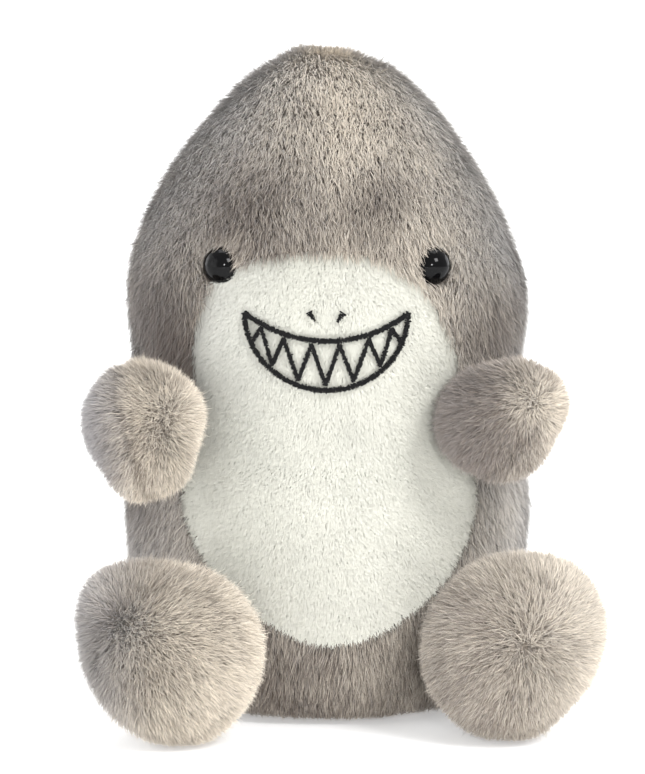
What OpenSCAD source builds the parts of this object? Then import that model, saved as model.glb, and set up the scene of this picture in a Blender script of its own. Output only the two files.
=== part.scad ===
// A seated, bean-filled plush shark: a sewn fur bag with a white face and belly, two stub
// arms, two ball feet, a dorsal fin and a tail. Front faces -Y, the base rests on z = 0.

/* [Body bag] */
// Height from the base to the crown
seated_height = 126; // [100:1:152]
// Width of the bag at its widest
body_width = 76.8; // [64:0.4:92]
// Depth of the bag at its deepest
body_depth = 70.8; // [59:0.4:85]
// Thickness of the grey plush, backing and pile
grey_thickness = 3; // [2.4:0.1:3.6]
// Thickness of the white plush, which has a shorter pile
white_thickness = 2.2; // [1.8:0.1:2.6]
// Gap at the seams between two panels
seam_gap = 0.2; // [0.1:0.02:0.3]
// Gap between a panel and what is packed behind it
packing_gap = 0.3; // [0.2:0.05:0.5]
// Gap between the bag and a limb that is sewn to it
limb_gap = 0.4; // [0.32:0.02:0.8]

/* [Face] */
// Angle of each eye round the head from the front
eye_angle = 33; // [31:0.5:38]
// Height of the eyes
eye_height = 87.6; // [84:0.2:90]
// Radius of the eye at its rim
eye_radius = 3.7; // [3:0.1:4.2]
// How far the eye domes out from its rim
eye_dome = 3.4; // [2.8:0.1:4]
// How deep the rim of the eye sits in the pile
eye_sink = 1.8; // [1.2:0.1:2]
// Radius of the shank behind the eye
shank_radius = 1.4; // [1.1:0.05:1.7]
// Radius of the washer that locks the eye
washer_radius = 5.2; // [4.4:0.1:5.8]
// Half the width of the embroidered grin
grin_half_width = 15.4; // [12.5:0.2:17]
// Height of the corners of the grin
grin_height = 78.6; // [76:0.2:80]
// How far the upper lip dips below the corners
lip_dip = 5; // [4:0.2:6]
// How far the lower lip dips below the corners
jaw_dip = 14.3; // [12:0.2:16]
// Width of a line of satin stitch
stitch_width = 0.75; // [0.6:0.05:1]

/* [Arms] */
// Radius of an arm where it is sewn on
arm_root_radius = 10.8; // [9:0.1:11.6]
// Radius of the round end of an arm
arm_tip_radius = 8.7; // [7.4:0.1:9.6]
// Distance from the root centre of an arm to the centre of its end
arm_reach = 6.5; // [5.4:0.1:7.8]
// Height at which the arms are sewn on
arm_height = 58.5; // [54.5:0.5:62.5]

/* [Feet] */
// Radius of a foot where it is sewn on
foot_root_radius = 12; // [10:0.1:12.6]
// Radius of the ball of a foot
foot_radius = 16.6; // [13.8:0.1:18]
// Distance from the root centre of a foot to the centre of its ball
foot_reach = 9; // [7.5:0.1:10.8]

/* [Fins] */
// Half the thickness of a fin at its root
fin_half_thickness = 5.4; // [5:0.1:6.2]
// Length of the dorsal fin beyond its root line
dorsal_length = 17; // [14:0.2:20]
// Width of the dorsal fin along its root
dorsal_chord = 25; // [21:0.5:30]
// Height of the middle of the dorsal fin
dorsal_height = 73; // [70:0.5:78]
// Length of the tail beyond its root line
tail_length = 14.5; // [12:0.1:16]
// Width of the tail along its root
tail_chord = 17; // [14:0.5:20.5]
// Height of the middle of the tail
tail_height = 20; // [18:0.5:24]

/* [Filling] */
// Height where the fibrefill ends and the bean pouch begins
pouch_top = 39; // [36:0.5:42]
// Radius of a bean pellet
pellet_radius = 2.2; // [1.8:0.1:2.5]
// Number of pellets in each layer
pellets_per_layer = 13; // [9:1:15]

/* [Output] */
// Which piece to draw

/* [Hidden] */
grey = [0.6, 0.57, 0.53];
sandy = [0.7, 0.66, 0.6];
white = [0.94, 0.94, 0.9];
fibre = [0.97, 0.97, 0.96];
black = [0.05, 0.05, 0.06];

// Shape of the bag at its first size: height, half width, depth in front, depth behind
bag_rows = [
  [0, 26, 24.5, 25], [1.6, 30.5, 28.5, 28.5], [6, 34.5, 31.7, 31.5], [14, 37.2, 34, 34],
  [27, 38.4, 35.2, 35.4], [40, 38.6, 35.6, 35.2], [50, 37.6, 34.8, 34], [59, 37, 34.6, 33],
  [68, 37.4, 35.8, 32.6], [78, 38.4, 36, 32.4], [86, 38, 34.6, 31.2], [94, 35.3, 31.8, 29.4],
  [101, 31.6, 28.4, 27.1], [108, 26.8, 23.8, 23.8], [114, 22.1, 19.5, 20], [119, 17.4, 15.2, 15.8],
  [122.6, 13, 11.3, 11.8], [124.9, 8.2, 7.1, 7.4], [125.9, 3.6, 3.1, 3.3], [126, 0.6, 0.5, 0.5]
];
// Edge of the white panels: height, angle to the left, angle to the right
white_rows = [
  [16.4, -2, 3], [17.4, -8, 10], [19.4, -14, 18], [23, -23, 27], [28, -32, 36], [34, -40, 43.5],
  [41, -46.5, 48.5], [47.6, -47.5, 49], [55, -45, 47.5], [63, -42.5, 44.5], [72, -42.5, 40],
  [79, -39.5, 33.5], [84, -35, 27], [87.4, -29, 21], [89.4, -22, 14.5], [90.2, -15, 9], [90.6, -6, 3]
];
grow_z = seated_height / 126;
grow_x = body_width / 76.8;
grow_y = body_depth / 70.8;
last_bag = len(bag_rows) - 1;
shank_length = 8.6;
washer_thickness = 1.1;
pouch_cloth = 0.6;
white_sink = grey_thickness - white_thickness;
// A flat washer behind a curved wall sits deeper by the wall's fall across its radius
washer_depth = grey_thickness + packing_gap + washer_radius * washer_radius / 46;

// --- Surface of the bag ---------------------------------------------------------------

function pick(list, i) = list[max(0, min(len(list) - 1, i))];

function blend_rows(a, b, c, d, t) =
  b + 0.5 * t * (c - a + t * (2 * a - 5 * b + 4 * c - d + t * (3 * (b - c) + d - a)));

function bag_row(u) = let (i = min(last_bag - 1, floor(u)))
  blend_rows(pick(bag_rows, i - 1), bag_rows[i], bag_rows[i + 1], pick(bag_rows, i + 2), u - i);

function bag_point(u, angle) = let (r = bag_row(u), c = cos(angle)) [
  grow_x * r[1] * sin(angle),
  -grow_y * c * (c > 0 ? r[2] : r[3]),
  grow_z * r[0]
];

function unit(v) = v / norm(v);

function bag_normal(u, angle) = let (
    along = bag_point(min(last_bag, u + 0.04), angle) - bag_point(max(0, u - 0.04), angle),
    round_step = bag_point(max(0.01, u), angle + 1) - bag_point(max(0.01, u), angle - 1),
    n = unit(cross(round_step, along)),
    level = max(0, 1 - u)
  )
  unit([n[0], n[1], n[2] * (1 - level)]);

function bag_inside(u, angle, depth) = bag_point(u, angle) - depth * bag_normal(u, angle);

// Row number at which the first-size bag reaches height z, found by halving
function row_at(z, low = 0, high = last_bag, turns = 18) =
  turns == 0 ? (low + high) / 2 :
  let (middle = (low + high) / 2)
  bag_row(middle)[0] < z ? row_at(z, middle, high, turns - 1) : row_at(z, low, middle, turns - 1);

// Angle round the bag at which the surface is x to the side of the middle
function angle_at(x, u) = asin(x / bag_row(u)[1]);

function edge_left(z) = lookup(z, [for (r = white_rows) [r[0], r[1]]]);
function edge_right(z) = lookup(z, [for (r = white_rows) [r[0], r[2]]]);
function is_white(z) = z >= white_rows[0][0] - 0.001 && z <= white_rows[len(white_rows) - 1][0] + 0.001;

// Angle that a seam gap takes up at row u
function gap_angle(u) = asin(min(0.8, seam_gap / 2 / bag_row(u)[1]));

// --- Closed solids made from grids of points -------------------------------------------

function flat_list(grid) = [for (row = grid) each row];

// A panel with an outer and an inner grid of points, walled at its four edges
module panel(outer, inner) {
  rows = len(outer);
  cols = len(outer[0]);
  n = rows * cols;
  function at(r, c) = r * cols + c;
  polyhedron(
    concat(flat_list(outer), flat_list(inner)),
    concat(
      [for (r = [0 : rows - 2], c = [0 : cols - 2]) each
        [[at(r, c), at(r + 1, c), at(r + 1, c + 1)], [at(r, c), at(r + 1, c + 1), at(r, c + 1)]]],
      [for (r = [0 : rows - 2], c = [0 : cols - 2]) each
        [[n + at(r, c), n + at(r + 1, c + 1), n + at(r + 1, c)],
         [n + at(r, c), n + at(r, c + 1), n + at(r + 1, c + 1)]]],
      [for (r = [0 : rows - 2]) each
        [[at(r, 0), n + at(r, 0), n + at(r + 1, 0)], [at(r, 0), n + at(r + 1, 0), at(r + 1, 0)]]],
      [for (r = [0 : rows - 2], c = [cols - 1]) each
        [[at(r, c), n + at(r + 1, c), n + at(r, c)], [at(r, c), at(r + 1, c), n + at(r + 1, c)]]],
      [for (c = [0 : cols - 2]) each
        [[at(0, c), n + at(0, c + 1), n + at(0, c)], [at(0, c), at(0, c + 1), n + at(0, c + 1)]]],
      [for (c = [0 : cols - 2], r = [rows - 1]) each
        [[at(r, c), n + at(r, c), n + at(r, c + 1)], [at(r, c), n + at(r, c + 1), at(r, c + 1)]]]
    )
  );
}

// A closed lump from rings of points, with a flat face over the first and last ring
module lump(rings) {
  rows = len(rings);
  cols = len(rings[0]);
  function at(r, c) = r * cols + c % cols;
  polyhedron(
    flat_list(rings),
    concat(
      [for (r = [0 : rows - 2], c = [0 : cols - 1]) each
        [[at(r, c), at(r + 1, c), at(r + 1, c + 1)], [at(r, c), at(r + 1, c + 1), at(r, c + 1)]]],
      [[for (c = [0 : cols - 1]) at(0, c)]],
      [[for (c = [cols - 1 : -1 : 0]) at(rows - 1, c)]]
    )
  );
}

// A line of satin stitch: a low bar that follows points given as [row, angle]
module stitch_line(path) {
  function place(i, depth) = bag_inside(path[i][0], path[i][1], depth);
  function side(i) = let (
      n = bag_normal(path[i][0], path[i][1]),
      run = place(min(len(path) - 1, i + 1), 0) - place(max(0, i - 1), 0)
    )
    unit(cross(run, n)) * stitch_width / 2;
  lump([for (i = [0 : len(path) - 1]) let (
      low = place(i, white_sink - 0.08),
      high = place(i, white_sink - 0.5),
      s = side(i)
    )
    [low - s, high - s * 0.7, high + s * 0.7, low + s]]);
}

// --- Body panels ------------------------------------------------------------------------

panel_heights = [
  0, 0.7, 1.8, 3.6, 6.4, 10, 13.6, 16, 16.4, 17.4, 19.4, 23, 28, 34, 41, 47.6, 55, 63, 72, 79,
  84, 87.4, 89.4, 90.2, 90.6, 91, 94, 98, 102.5, 107, 111.5, 115.5, 119, 121.8, 123.8, 125.1, 125.8, 126
];
grey_cols = 16;
white_cols = 12;

function spread(a, b, n) = [for (i = [0 : n]) a + (b - a) * i / n];

module grey_panel(way) {
  // way is 1 for the right panel and -1 for the left
  grids = [for (depth = [0, grey_thickness])
    [for (z = panel_heights) let (
        u = row_at(z),
        front = is_white(z) ? (way > 0 ? edge_right(z) : -edge_left(z)) : 0,
        g = gap_angle(u)
      )
      [for (a = spread(front + g, 180 - g, grey_cols)) bag_inside(u, way * a, depth)]]];
  if (way > 0) {
    panel(turned(grids[0]), turned(grids[1]));
  } else {
    panel(grids[0], grids[1]);
  }
}

function turned(grid) = [for (row = grid) [for (i = [len(row) - 1 : -1 : 0]) row[i]]];

module white_panel(low, high) {
  heights = [for (r = white_rows) if (r[0] >= low - 0.001 && r[0] <= high + 0.001) r[0]];
  first = heights[0];
  last = heights[len(heights) - 1];
  // The two white panels stop half a seam gap short of each other at the crease
  function trimmed(z) = z + (z == first && z > 17 ? seam_gap / 2 : 0) - (z == last && z < 90 ? seam_gap / 2 : 0);
  grids = [for (depth = [white_sink, grey_thickness])
    [for (z = heights) let (u = row_at(trimmed(z)), g = gap_angle(u))
      [for (a = spread(edge_right(z) - g, edge_left(z) + g, white_cols)) bag_inside(u, a, depth)]]];
  panel(grids[0], grids[1]);
}

module place_body() {
  translate([-body_offset, middle_y, 0]) children();
}

module back_left() {
  color(grey) place_body() difference() {
    grey_panel(-1);
    at_eye(-1) eye_room();
  }
}

module back_right() {
  color(grey) place_body() difference() {
    grey_panel(1);
    at_eye(1) eye_room();
  }
}

module face_panel() {
  color(white) place_body() difference() {
    white_panel(47.6, 90.6);
    for (way = [-1, 1]) at_eye(way) eye_room();
  }
}

module belly_panel() {
  color(white) place_body() white_panel(16.4, 47.6);
}

module base_panel() {
  // A flat oval sewn inside the lower rim of the bag
  rim = grey_thickness + seam_gap;
  color(grey) place_body() linear_extrude(grey_thickness)
    polygon([for (a = [0 : 7.5 : 352.5]) let (p = bag_point(0, a), n = bag_normal(0, a))
      [p[0] - rim * n[0], p[1] - rim * n[1]]]);
}

// --- Eyes -------------------------------------------------------------------------------

module at_eye(way) {
  u = row_at(eye_height);
  n = bag_normal(u, way * eye_angle);
  translate(bag_point(u, way * eye_angle))
    rotate([0, acos(n[2]), atan2(n[1], n[0])]) children();
}

module eye_room() {
  translate([0, 0, -eye_sink - 0.15]) cylinder(h = 8, r = eye_radius + 0.3, $fn = 36);
  translate([0, 0, -8]) cylinder(h = 8, r = shank_radius + 0.2, $fn = 36);
}

module eye() {
  ball = (eye_radius * eye_radius + eye_dome * eye_dome) / (2 * eye_dome);
  translate([0, 0, -eye_sink]) {
    intersection() {
      translate([0, 0, eye_dome - ball]) sphere(r = ball, $fn = 48);
      cylinder(h = 10, r = 10, $fn = 48);
    }
    translate([0, 0, -shank_length]) cylinder(h = shank_length + 0.2, r = shank_radius, $fn = 36);
  }
}

module washer() {
  translate([0, 0, -washer_depth - washer_thickness]) difference() {
    cylinder(h = washer_thickness, r = washer_radius, $fn = 48);
    translate([0, 0, -1]) cylinder(h = washer_thickness + 2, r = shank_radius + 0.1, $fn = 36);
  }
}

module washer_room() {
  top = grey_thickness - 0.5;
  deep = washer_depth + packing_gap + washer_thickness;
  translate([0, 0, -deep]) cylinder(h = deep - top, r = washer_radius + packing_gap, $fn = 36);
  translate([0, 0, -shank_length - eye_sink - packing_gap])
    cylinder(h = shank_length, r = shank_radius + packing_gap, $fn = 36);
}

module eye_left() {
  color(black) place_body() at_eye(-1) eye();
}

module eye_right() {
  color(black) place_body() at_eye(1) eye();
}

module eye_washer_left() {
  color(fibre) place_body() at_eye(-1) washer();
}

module eye_washer_right() {
  color(fibre) place_body() at_eye(1) washer();
}

// --- Embroidery -------------------------------------------------------------------------

// A place on the face, from a distance to the side and a height
function on_face(x, z) = let (u = row_at(z)) [u, angle_at(x - 0.3, u)];

lip_radius = (grin_half_width * grin_half_width + lip_dip * lip_dip) / (2 * lip_dip);
function lip_z(x) = grin_height - lip_dip + lip_radius - sqrt(lip_radius * lip_radius - x * x);
function jaw_z(x) = let (f = min(1, abs(x) / grin_half_width)) grin_height - jaw_dip * sqrt(1 - f * f);

tooth_tops = [-0.8, -0.52, -0.17, 0.17, 0.52, 0.8];
tooth_points = [-0.9, -0.66, -0.34, 0, 0.34, 0.66, 0.9];

// Corners of the zigzag, from the left end to the right one: points and tops by turns
zigzag = [for (i = [0 : 12]) let (
    top = i % 2 == 1,
    x = grin_half_width * (top ? tooth_tops[(i - 1) / 2] : tooth_points[i / 2])
  )
  [x, top ? lip_z(x) - 0.85 : jaw_z(x) + 1]];

module stroke(corners) {
  // Each straight run has a point in its middle, so that it follows the curve of the face
  stitch_line([for (i = [0 : 2 * len(corners) - 2]) let (
      a = corners[floor(i / 2)],
      b = corners[ceil(i / 2)],
      p = (a + b) / 2
    )
    on_face(p[0], p[1])]);
}

module mouth_outline() {
  color(black) place_body() {
    stitch_line([for (t = [-16 : 16]) let (x = grin_half_width * t / 16) on_face(x, lip_z(x))]);
    stitch_line([for (t = [-90 : 5 : 90]) let (x = grin_half_width * sin(t)) on_face(x, jaw_z(x))]);
  }
}

module teeth() {
  color(black) place_body() stroke(zigzag);
}

module nostril_left() {
  color(black) place_body() stroke([[-3.1, grin_height + 0.4], [-2, grin_height - 1.1]]);
}

module nostril_right() {
  color(black) place_body() stroke([[3.3, grin_height + 0.2], [2.2, grin_height - 1.3]]);
}

// --- Filling of the body ------------------------------------------------------------------

module body_stuffing() {
  depth = grey_thickness + packing_gap;
  color(fibre) place_body() difference() {
    lump([for (z = [pouch_top, 47.6, 55, 63, 72, 79, 84, 91, 98, 102.5, 107, 111.5, 115.5, 119, 120.6])
      [for (a = [345 : -15 : 0]) bag_inside(row_at(z), a, depth)]]);
    for (way = [-1, 1]) at_eye(way) washer_room();
  }
}

pouch_low = grey_thickness + 3;
pouch_high = pouch_top - 4;
pouch_seam = (pouch_low + pouch_high) / 2;
pouch_depth = grey_thickness + packing_gap + 1;

// A ring of the pouch at height z, pinched towards its top and bottom
function pouch_ring(z, depth) = let (
    out = abs(z - pouch_seam) / (pouch_high - pouch_low) * 2,
    squeeze = 1 - 0.14 * pow(out, 4),
    u = row_at(z)
  )
  [for (a = [340 : -20 : 0]) let (p = bag_inside(u, a, depth)) [p[0] * squeeze, p[1] * squeeze, p[2]]];

// Half of the pouch, as a bowl of thin cloth between its rim and its far end
module pouch_half(rim, end) {
  away = end > rim ? 1 : -1;
  rings = concat(
    [for (z = spread(end, rim, 5)) pouch_ring(z, pouch_depth)],
    [for (z = spread(rim, end - away * pouch_cloth, 5)) pouch_ring(z, pouch_depth + pouch_cloth)]
  );
  color(fibre) place_body() lump(away < 0 ? rings : turned(rings));
}

module pouch_upper() {
  pouch_half(pouch_seam + seam_gap / 2, pouch_high);
}

module pouch_lower() {
  pouch_half(pouch_seam - seam_gap / 2, pouch_low);
}

module bean_pellets() {
  // Two loose layers, set out in a spiral so that no two touch
  spread_radius = 20 * min(grow_x, grow_y);
  for (layer = [0, 1], i = [0 : pellets_per_layer - 1]) {
    reach = spread_radius * sqrt((i + 0.5) / pellets_per_layer);
    turn = 137.5 * i + 70 * layer;
    color(white) place_body() translate([reach * cos(turn), reach * sin(turn), grow_z * (11 + 7.4 * layer)])
      sphere(r = pellet_radius, $fn = 20);
  }
}

module closing_stitches() {
  // Ladder stitches that close the bag at the back seam, below the dorsal fin
  for (i = [0 : 4]) {
    u = row_at(39 + 3 * i);
    color(grey) place_body() translate(bag_inside(u, 180, -0.35))
      rotate([0, 90, 0]) cylinder(h = 3, r = 0.25, center = true, $fn = 16);
  }
}

// --- Arms and feet ------------------------------------------------------------------------

// Angles from the middle of a limb's root: to the rim of the small hole it is stuffed through,
// and to the seam of a foot's sole
limb_open = 12;
sole_seam = 128;

// Outline of a limb turned about its own length: a ball at the root and another at the end
function limb_line(root, tip, reach, depth, first, last) = let (
    lean = acos((root - tip) / reach)
  )
  [for (t = [first : (180 - lean - first) / 6 : 180.01 - lean])
    [(root - depth) * sin(t), -(root - depth) * cos(t)] ,
   for (t = [180 - lean : (last - 180 + lean) / 9 : last + 0.01])
    [(tip - depth) * sin(t), reach - (tip - depth) * cos(t)]];

function reversed(list) = [for (i = [len(list) - 1 : -1 : 0]) list[i]];

module limb_shell(root, tip, reach, first, last) {
  // A closed end stops on the axis, so that its points stay on one side of it
  rotate_extrude($fn = 32) polygon([
    for (p = concat(
      limb_line(root, tip, reach, 0, first, last),
      reversed(limb_line(root, tip, reach, grey_thickness, first, last))
    )) [max(0, p[0]), p[1]]
  ]);
}

module limb_fill(root, tip, reach) {
  line = limb_line(root, tip, reach, grey_thickness + packing_gap, limb_open + 8, 180);
  rotate_extrude($fn = 32) polygon([
    [0, line[0][1]],
    for (p = line) [max(0, p[0]), p[1]]
  ]);
}

// Where a limb is sewn on, the way it points and how far its seams are turned about that way:
// [angle round the bag, height, direction, turn]
limbs = [
  [-46, arm_height, unit([0.12, -0.55, -0.83]), -60],
  [41.5, arm_height, unit([0.6, -0.62, 0.5]), 60],
  [-36.5, foot_radius, [0, -1, 0], 0],
  [45, foot_radius, [0, -1, 0], 0]
];

function limb_root(i, radius) = let (
    u = row_at(limbs[i][1] / grow_z),
    p = bag_point(u, limbs[i][0]),
    n = bag_normal(u, limbs[i][0]),
    c = p + (radius + limb_gap) * n
  )
  [c[0], c[1], i > 1 ? foot_radius : c[2]];

module at_limb(i, radius) {
  way = limbs[i][2];
  place_body() translate(limb_root(i, radius)) rotate([0, acos(way[2]), atan2(way[1], way[0])])
    rotate([0, 0, limbs[i][3]]) children();
}

module arm_half(i, face) {
  // face is 1 for the piece behind and -1 for the one in front
  color(sandy) at_limb(i, arm_root_radius) intersection() {
    limb_shell(arm_root_radius, arm_tip_radius, arm_reach, limb_open, 180);
    translate([face * (25 + seam_gap / 2), 0, 0]) cube([50, 100, 100], center = true);
  }
}

module arm_fill(i) {
  color(fibre) at_limb(i, arm_root_radius) limb_fill(arm_root_radius, arm_tip_radius, arm_reach);
}

module foot_upper(i) {
  color(sandy) at_limb(i, foot_root_radius)
    limb_shell(foot_root_radius, foot_radius, foot_reach, limb_open, sole_seam);
}

module foot_sole(i) {
  gap = 60 * seam_gap / foot_radius;
  color(sandy) at_limb(i, foot_root_radius) rotate_extrude($fn = 32) polygon([
    for (t = [sole_seam + gap : (180 - sole_seam - gap) / 6 : 180.01])
      [max(0, foot_radius * sin(t)), foot_reach - foot_radius * cos(t)],
    for (t = [180 : -(180 - sole_seam - gap) / 6 : sole_seam + gap - 0.01])
      [max(0, (foot_radius - grey_thickness) * sin(t)), foot_reach - (foot_radius - grey_thickness) * cos(t)]
  ]);
}

module foot_fill(i) {
  color(fibre) at_limb(i, foot_root_radius) limb_fill(foot_root_radius, foot_radius, foot_reach);
}

module arm_left_front() { arm_half(0, -1); }
module arm_left_back() { arm_half(0, 1); }
module arm_left_fill() { arm_fill(0); }
module arm_right_front() { arm_half(1, -1); }
module arm_right_back() { arm_half(1, 1); }
module arm_right_fill() { arm_fill(1); }
module foot_left_upper() { foot_upper(2); }
module foot_left_sole() { foot_sole(2); }
module foot_left_fill() { foot_fill(2); }
module foot_right_upper() { foot_upper(3); }
module foot_right_sole() { foot_sole(3); }
module foot_right_fill() { foot_fill(3); }

// --- Fins -----------------------------------------------------------------------------------

fin_edge = 2.2;
fin_cloth = 2.8;
fin_rows = [-0.86, -0.62, -0.3, 0, 1, 2, 3, 4, 5, 6];

// Distance from the root line for a row: the first rows round the root, the rest run to the tip
function fin_y(row, length) = row <= 0 ? row * fin_half_thickness : length * row / 6;

// Half thickness at row and place across, -1 to 1: thick in the middle, thin at the seam
function fin_half(row, across) = let (
    out = max(0, row) / 6,
    puff = sqrt(max(0, 1 - across * across)) * sqrt(max(0, 1 - out * out)),
    round_root = row < 0 ? sqrt(1 - row * row) : 1
  )
  min(fin_edge + (fin_half_thickness - fin_edge) * puff, fin_half_thickness * round_root);

// Height limits of the fins along their length, as [lower, upper] for a place out, 0 to 1
function dorsal_limits(out) = dorsal_chord / 2 *
  [-1 + 0.3 * out * out, 1 - 0.25 * out - 1.0 * out * out];
function tail_limits(out) = tail_chord / 2 *
  [-1 - 0.25 * out * out, 1 + 0.7 * out * out];
notch = 0.24;

function fin_place(kind, row, across) = let (
    out = max(0, row) / 6,
    limits = kind == 0 ? dorsal_limits(out) : tail_limits(out),
    length = kind == 0 ? dorsal_length : tail_length,
    bite = kind == 0 ? 0.12 * (across * across) : notch * (1 - across * across)
  )
  [fin_y(row, length) - length * bite * out * out, limits[0] + (limits[1] - limits[0]) * (across + 1) / 2];

module fin_half_shell(kind, way) {
  grids = [for (side = [0, 1])
    [for (row = fin_rows) [for (across = spread(-1, 1, 10)) let (
        p = fin_place(kind, row, across),
        h = fin_half(row, across),
        x = side == 0 ? h : max(seam_gap / 2, h - fin_cloth)
      )
      [way * x, p[0], p[1]]]]];
  if (way > 0) {
    panel(turned(grids[0]), turned(grids[1]));
  } else {
    panel(grids[0], grids[1]);
  }
}

module fin_filling(kind) {
  grids = [for (way = [1, -1])
    [for (row = [-0.6, -0.3, 0, 1, 2, 3, 3.6]) [for (across = spread(0.66, -0.66, 6)) let (
        p = fin_place(kind, row, across)
      )
      [way * (fin_half(row, across) - fin_cloth - packing_gap), p[0], p[1]]]]];
  panel(grids[0], grids[1]);
}

// A fin's frame: its root line lies just behind the back seam and leans with it
function fin_lean(height, chord) = let (
    low = bag_point(row_at((height - chord / 2) / grow_z), 180),
    high = bag_point(row_at((height + chord / 2) / grow_z), 180)
  )
  atan2(low[1] - high[1], high[2] - low[2]);

function fin_root(height) = let (
    u = row_at(height / grow_z),
    p = bag_point(u, 180),
    n = bag_normal(u, 180)
  )
  p + (fin_half_thickness + limb_gap + 0.1) * n;

module at_fin(height, chord) {
  place_body() translate(fin_root(height)) rotate([fin_lean(height, chord), 0, 0]) children();
}

module dorsal_fin_left() { color(grey) at_fin(dorsal_height, dorsal_chord) fin_half_shell(0, -1); }
module dorsal_fin_right() { color(grey) at_fin(dorsal_height, dorsal_chord) fin_half_shell(0, 1); }
module dorsal_fin_fill() { color(fibre) at_fin(dorsal_height, dorsal_chord) fin_filling(0); }
module tail_left() { color(grey) at_fin(tail_height, tail_chord) fin_half_shell(1, -1); }
module tail_right() { color(grey) at_fin(tail_height, tail_chord) fin_half_shell(1, 1); }
module tail_fill() { color(fibre) at_fin(tail_height, tail_chord) fin_filling(1); }

// The feet reach equally far to each side of x = 0, so the bag sits a little to the left
body_offset = (limb_root(2, foot_root_radius)[0] + limb_root(3, foot_root_radius)[0]) / 2;
// Half-way between the front of the feet and the end of the tail is y = 0
front_y = limb_root(2, foot_root_radius)[1] - foot_reach - foot_radius;
tail_lean = fin_lean(tail_height, tail_chord);
back_y = fin_root(tail_height)[1] + max([for (across = spread(-1, 1, 10))
  let (p = fin_place(1, 6, across)) p[0] * cos(tail_lean) - p[1] * sin(tail_lean)]);
middle_y = -(front_y + back_y) / 2;

back_left();
back_right();
face_panel();
belly_panel();
base_panel();
eye_left();
eye_right();
eye_washer_left();
eye_washer_right();
mouth_outline();
teeth();
nostril_left();
nostril_right();
body_stuffing();
pouch_upper();
pouch_lower();
bean_pellets();
closing_stitches();
arm_left_front();
arm_left_back();
arm_left_fill();
arm_right_front();
arm_right_back();
arm_right_fill();
foot_left_upper();
foot_left_sole();
foot_left_fill();
foot_right_upper();
foot_right_sole();
foot_right_fill();
dorsal_fin_left();
dorsal_fin_right();
dorsal_fin_fill();
tail_left();
tail_right();
tail_fill();
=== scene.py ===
from math import radians

import bpy
import numpy as np
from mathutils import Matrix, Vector
from mathutils.kdtree import KDTree


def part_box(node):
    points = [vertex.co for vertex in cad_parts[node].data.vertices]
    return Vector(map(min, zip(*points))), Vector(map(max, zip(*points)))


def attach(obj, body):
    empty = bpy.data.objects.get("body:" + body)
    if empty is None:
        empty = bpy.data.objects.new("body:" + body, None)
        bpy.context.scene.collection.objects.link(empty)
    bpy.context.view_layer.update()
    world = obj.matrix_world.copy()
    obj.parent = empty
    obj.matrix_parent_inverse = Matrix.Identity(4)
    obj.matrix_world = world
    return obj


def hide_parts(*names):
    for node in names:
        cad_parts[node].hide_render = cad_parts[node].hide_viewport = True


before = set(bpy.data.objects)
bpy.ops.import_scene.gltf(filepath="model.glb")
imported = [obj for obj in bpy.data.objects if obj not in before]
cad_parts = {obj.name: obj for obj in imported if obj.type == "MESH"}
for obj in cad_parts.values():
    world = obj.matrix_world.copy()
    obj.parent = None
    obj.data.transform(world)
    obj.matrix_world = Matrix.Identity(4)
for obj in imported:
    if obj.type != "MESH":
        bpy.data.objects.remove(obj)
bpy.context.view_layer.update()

# Camera: aimed at the chest from straight in front and about 6 degrees above it.
# The toy's middle is taken from its base panel, because the feet reach further to one side.
low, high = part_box("base_panel")
bag_x = (low[0] + high[0]) * 500
bag_y = (low[1] + high[1]) * 500 - 0.25
look_at = Vector(((bag_x - 0.87) / 1000, bag_y / 1000, 0.0613))
away = 0.85
view_height = 0.1504
camera_data = bpy.data.cameras.new("camera")
camera_data.sensor_fit = "VERTICAL"
camera_data.sensor_height = 36
camera_data.lens = camera_data.sensor_height * away / view_height
camera_data.clip_start = 0.01
camera = bpy.data.objects.new("camera", camera_data)
camera.location = look_at + Vector((0, -np.cos(radians(6)), np.sin(radians(6)))) * away
camera.rotation_euler = (radians(84), 0, 0)
bpy.context.collection.objects.link(camera)
bpy.context.scene.camera = camera
bpy.context.scene.view_settings.view_transform = "Standard"


# Floor and studio light: a wide white card that curves up behind the toy and on its left, a soft
# lamp to the upper right of the front, a weaker one on the left, a small one in front for the
# eyes, one above, and one behind on each side for the rim.
def pick(*objects):
    """Selects these objects alone, the last one active."""
    bpy.ops.object.select_all(action="DESELECT")
    for o in objects:
        o.select_set(True)
    bpy.context.view_layer.objects.active = objects[-1]


def linear(hex_colour):
    """An sRGB hex colour as linear RGBA."""
    c = np.array([int(hex_colour[i : i + 2], 16) for i in (0, 2, 4)]) / 255
    c = np.where(c <= 0.04045, c / 12.92, ((c + 0.055) / 1.055) ** 2.4)
    return (*c, 1.0)


def new_material(name, colour, roughness, **sockets):
    """A Principled material with its constant values set on the shader itself."""
    m = bpy.data.materials.new(name)
    m.use_nodes = True
    shader = m.node_tree.nodes["Principled BSDF"]
    shader.inputs["Base Color"].default_value = linear(colour)
    shader.inputs["Roughness"].default_value = roughness
    for socket, value in sockets.items():
        shader.inputs[socket.replace("_", " ")].default_value = value
    return m, m.node_tree, shader


def add_node(tree, kind, settings=None, inputs=None, links=None):
    """Adds a node; inputs sets its sockets, links joins other nodes' outputs to them."""
    n = tree.nodes.new(kind)
    for key, value in (settings or {}).items():
        setattr(n, key, value)
    for key, value in (inputs or {}).items():
        n.inputs[key].default_value = value
    for key, source in (links or {}).items():
        tree.links.new(source, n.inputs[key])
    return n


bpy.ops.mesh.primitive_plane_add(size=3, location=(0, 0, -0.0002))
floor = bpy.context.object
floor.name = "floor"
bpy.ops.object.mode_set(mode="EDIT")
bpy.ops.mesh.select_mode(type="EDGE")
bpy.ops.mesh.select_all(action="DESELECT")
bpy.ops.object.mode_set(mode="OBJECT")
walls = ((1, 1), (0, -1))  # the axis and the side of the back wall, and of the left one


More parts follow.
